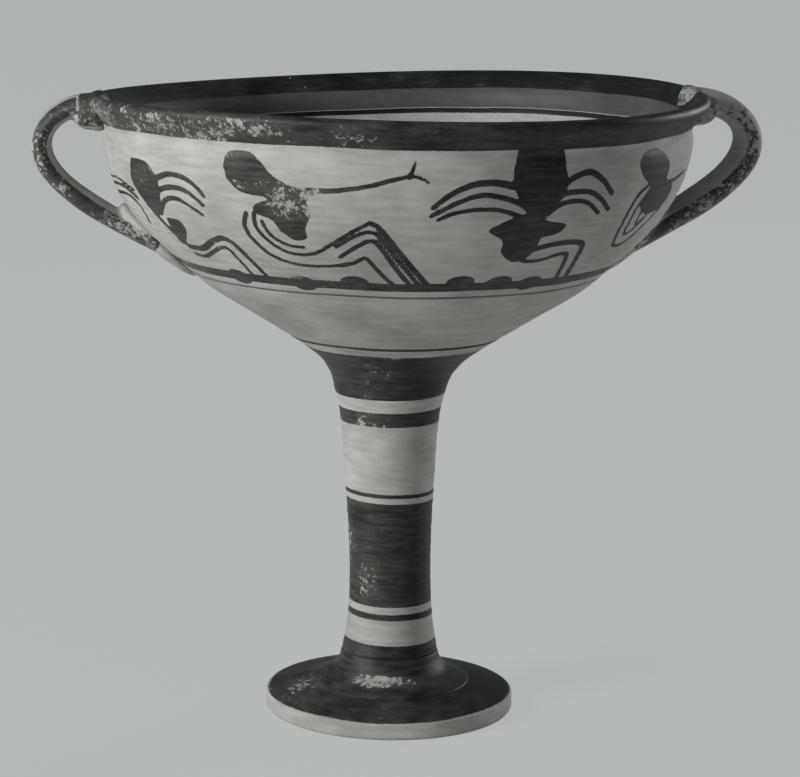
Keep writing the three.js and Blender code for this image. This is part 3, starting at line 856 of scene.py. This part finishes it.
# Painted bands: from one level to another, and how thick the slip lies
# A level is the height outside; past the lip it runs on, down the inside
INSIDE = 2 * RIM_LEVEL
BANDS = [
    (5.4, 23.1, 1.0),
    (30.9, 32.9, 1.0),
    (35.1, 68.4, 1.0),
    (70.2, 71.5, 1.0),
    (93.3, 98.0, 1.0),
    (102.2, 117.8, 1.0),
    (120.2, 121.2, 0.95),
    (141.3, 142.0, 0.8),
    (143.8, 146.6, 1.0),
    (186.9, INSIDE - 189.7, 1.0),
    (INSIDE - 189.9, INSIDE - 183.4, 0.82),
    (INSIDE - 183.2, INSIDE - 181.5, 1.0),
]
CLAY_LIGHT = (0.45, 0.456, 0.432, 1)
CLAY_DARK = (0.29, 0.295, 0.275, 1)
SLIP_DEEP = (0.0080, 0.0082, 0.0062, 1)
SLIP_THIN = (0.070, 0.072, 0.064, 1)
CHIP_PALE = (0.50, 0.51, 0.47, 1)
PIT_DARK = (0.10, 0.10, 0.09, 1)
CLAY_SHINE = 0.24
CLAY_ROUGHNESS = 0.70
SLIP_SMOOTHER = 0.20  # how much less rough the slip is


def painted_clay(name):
    """Pale clay with bands and figures in dark slip, worn as each piece says, with the slip painted paler on
    the key lamp's side as painted light.
    """
    n = Nodes(name)
    level = n.value_of("level")
    # This attribute holds wear and painted light: it is higher on the side towards the key lamp, which thins
    # and pales the slip there.
    wear_and_light = n.value_of("wear_and_light")
    # The brush's edges: they drift up and down slowly, and are ragged close to
    slow = n.math("MULTIPLY", n.math("SUBTRACT", n.noise(38, detail=1), 0.5), 1.5)
    ragged = n.math("MULTIPLY", n.math("SUBTRACT", n.noise(1.1, detail=4, roughness=0.7), 0.5), 1.1)
    near = n.math("ADD", level, n.math("ADD", slow, n.math("MULTIPLY", ragged, 0.5)))
    mask = n.step(n.math("ADD", n.value_of("motif"), n.math("MULTIPLY", ragged, 0.55)), -0.08, 0.10)
    for low, high, thick in BANDS:
        away = n.math("ABSOLUTE", n.math("SUBTRACT", near, (low + high) / 2))
        inside = n.math("SUBTRACT", (high - low) / 2, away)
        mask = n.math("MAXIMUM", mask, n.math("MULTIPLY", n.step(inside, -0.06, 0.10), thick))
    # Worn places: the slip is rubbed thin in streaks along the turning, and flaked off in crumbs, more where
    # the attribute read above is high, which also holds painted light: paler slip on the key lamp's side
    streak = n.noise(7, (1, 1, 7), detail=5, roughness=0.62, offset=2)
    cloud = n.noise(16, detail=4, roughness=0.6, offset=5)
    crumb = n.noise(1.5, detail=5, roughness=0.72, offset=8)
    rub = n.math("ADD", n.math("MULTIPLY", streak, 0.55), n.math("MULTIPLY", cloud, 0.45))
    thin = n.step(n.math("ADD", rub, n.math("MULTIPLY", wear_and_light, 0.42)), 0.50, 0.86)
    flake = n.math("ADD", n.math("MULTIPLY", crumb, 0.55), n.math("MULTIPLY", cloud, 0.45))
    gone = n.step(n.math("ADD", flake, n.math("MULTIPLY", wear_and_light, 0.30)), 0.705, 0.745)
    mask = n.math("MULTIPLY", mask, n.math("SUBTRACT", 1.0, n.math("MULTIPLY", gone, 0.88)))
    fleck = n.step(n.noise(0.8, detail=2, offset=11), 0.735, 0.765)
    # Clay: mottled, faintly streaked by the wheel, with dark grits and pits
    mottle = n.math("ADD", n.math("MULTIPLY", n.noise(22, detail=5, offset=14), 0.6),
                    n.math("MULTIPLY", n.noise(9, (1, 1, 6), detail=4, offset=17), 0.4))
    clay = n.blend(n.step(mottle, 0.34, 0.68), CLAY_DARK, CLAY_LIGHT)
    pit = n.step(n.noise(1.0, detail=1, offset=20), 0.77, 0.80)
    clay = n.blend(n.math("MULTIPLY", pit, 0.75), clay, PIT_DARK)
    slip = n.blend(n.math("MULTIPLY", thin, 0.9), SLIP_DEEP, SLIP_THIN)
    slip = n.blend(n.math("MULTIPLY", fleck, n.math("MULTIPLY", wear_and_light, 1.6, clamp=True)), slip, CHIP_PALE)
    colour = n.blend(mask, clay, slip)
    rough = n.math("SUBTRACT", CLAY_ROUGHNESS, n.math("MULTIPLY", mask, SLIP_SMOOTHER))
    rough = n.math("ADD", rough, n.math("MULTIPLY", n.math("SUBTRACT", cloud, 0.5), 0.25))
    # Relief: the clay's grain, fine rings from the wheel, the slip's thickness and the pits
    grain = n.bump(n.noise(0.55, detail=4, offset=23), 0.10, 0.5)
    rings = n.bump(n.noise(1.6, (0.12, 0.12, 1), detail=3, offset=26), 0.16, 0.5, grain)
    height = n.math("SUBTRACT", n.math("MULTIPLY", mask, 0.5), n.math("MULTIPLY", pit, 1.4))
    worked = n.bump(height, 0.12, 0.7, rings)
    return n.finish(colour, rough, worked)


def stage_material(name, colour, bounce, lit):
    """A pale surface that the camera sees near its written colour, and that keeps the shadow."""
    n = Nodes(name)
    diffuse = n.tree.nodes.new("ShaderNodeBsdfDiffuse")
    diffuse.inputs["Color"].default_value = bounce
    glow = n.tree.nodes.new("ShaderNodeEmission")
    glow.inputs["Color"].default_value = colour
    path = n.tree.nodes.new("ShaderNodeLightPath")
    seen = n.math("MAXIMUM", path.outputs["Is Camera Ray"], path.outputs["Is Glossy Ray"])
    seen = n.math("MAXIMUM", seen, path.outputs["Is Transmission Ray"])
    share = n.math("MULTIPLY", seen, 1 - lit)
    both = n.tree.nodes.new("ShaderNodeMixShader")
    n.put(both.inputs[0], share)
    n.tree.links.new(diffuse.outputs[0], both.inputs[1])
    n.tree.links.new(glow.outputs[0], both.inputs[2])
    out = n.tree.nodes.new("ShaderNodeOutputMaterial")
    n.tree.links.new(both.outputs[0], out.inputs["Surface"])
    return n.material


# Camera, stage and light

SENSOR = 36  # the camera's sensor, in millimetres


def make_camera():
    """The photograph's camera, which also casts the frieze onto the bowl."""
    data = bpy.data.cameras.new("photo_camera")
    data.sensor_width = SENSOR
    data.lens = CAMERA_LENS / PHOTO_WIDTH * data.sensor_width
    data.clip_start = 0.01
    data.clip_end = 20
    camera = bpy.data.objects.new("photo_camera", data)
    place = Matrix(CAMERA_AXES.tolist()).to_4x4()
    place.translation = (CAMERA_CENTRE * MM).tolist()
    camera.matrix_world = place
    bpy.context.scene.collection.objects.link(camera)
    bpy.context.scene.camera = camera


BACKDROP_COLOUR = (0.468, 0.496, 0.474, 1)
FLOOR_BOUNCE = (0.74, 0.76, 0.74, 1)
FLOOR_HALF = 6000.0
FLOOR_LIT = 0.12  # the share of the floor's look that comes from the lamps


def make_stage():
    """A pale floor that runs out of sight."""
    corners = FLOOR_HALF * np.array([[-1, -1, 0], [1, -1, 0], [1, 1, 0], [-1, 1, 0]])
    floor = make_object("floor", corners, [[0, 1, 2, 3]], {})
    floor.data.materials.append(stage_material("floor_pale", BACKDROP_COLOUR, FLOOR_BOUNCE, FLOOR_LIT))


def make_lamp(name, place, size, power, aim=(0, 0, 0.11)):
    """A round soft lamp turned to the vessel: place and size in metres, power in watts."""
    data = bpy.data.lights.new(name, "AREA")
    data.shape = "DISK"
    data.size = size
    data.energy = power
    lamp = bpy.data.objects.new(name, data)
    lamp.location = place
    lamp.rotation_euler = (Vector(aim) - Vector(place)).to_track_quat("-Z", "Y").to_euler()
    bpy.context.scene.collection.objects.link(lamp)


WORLD_LIGHT = 0.30  # how much of the backdrop's brightness falls on the vessel


def make_lights():
    """One large soft light from the left, a faint fill, and a rim light on the right handle."""
    make_lamp("key_left", (-1.25, -0.58, 0.62), 0.7, 20.5)
    make_lamp("fill_front", (0.1, -1.6, 0.45), 1.2, 1.0)
    make_lamp("edge_right", (1.2, 0.75, 0.40), 0.5, 7)
    world = bpy.data.worlds.new("studio")
    world.use_nodes = True
    back = world.node_tree.nodes["Background"]
    back.inputs["Color"].default_value = BACKDROP_COLOUR
    path = world.node_tree.nodes.new("ShaderNodeLightPath")
    seen = world.node_tree.nodes.new("ShaderNodeMath")
    seen.operation = "MULTIPLY_ADD"
    world.node_tree.links.new(path.outputs["Is Camera Ray"], seen.inputs[0])
    seen.inputs[1].default_value = 1 - WORLD_LIGHT
    seen.inputs[2].default_value = WORLD_LIGHT
    world.node_tree.links.new(seen.outputs[0], back.inputs["Strength"])
    bpy.context.scene.world = world
    bpy.context.scene.view_settings.view_transform = "Standard"


make_camera()
make_stage()
make_lights()

FINISH = painted_clay("painted_clay")
PIECES = [
    (make_bowl(), ["bowl"], "painted_clay"),
    (make_bowl_collar(), ["luting_stem_to_bowl"], "painted_clay"),
    (make_stem(), ["stem"], "painted_clay"),
    (make_foot_collar(), ["luting_stem_to_foot"], "foot_slip"),
    (make_foot(), ["foot_disc"], "foot_slip"),
]
for handle in (LEFT_HANDLE, RIGHT_HANDLE):
    side = handle["side"]
    nodes = [f"handle_{side}", f"luting_{side}_handle_to_rim", f"luting_{side}_handle_to_wall"]
    PIECES.append((make_handle(handle), nodes, "handle_clay"))
for piece, nodes, slot in PIECES:
    piece.data.materials.append(FINISH)
    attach(piece, "root")
    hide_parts(*nodes)
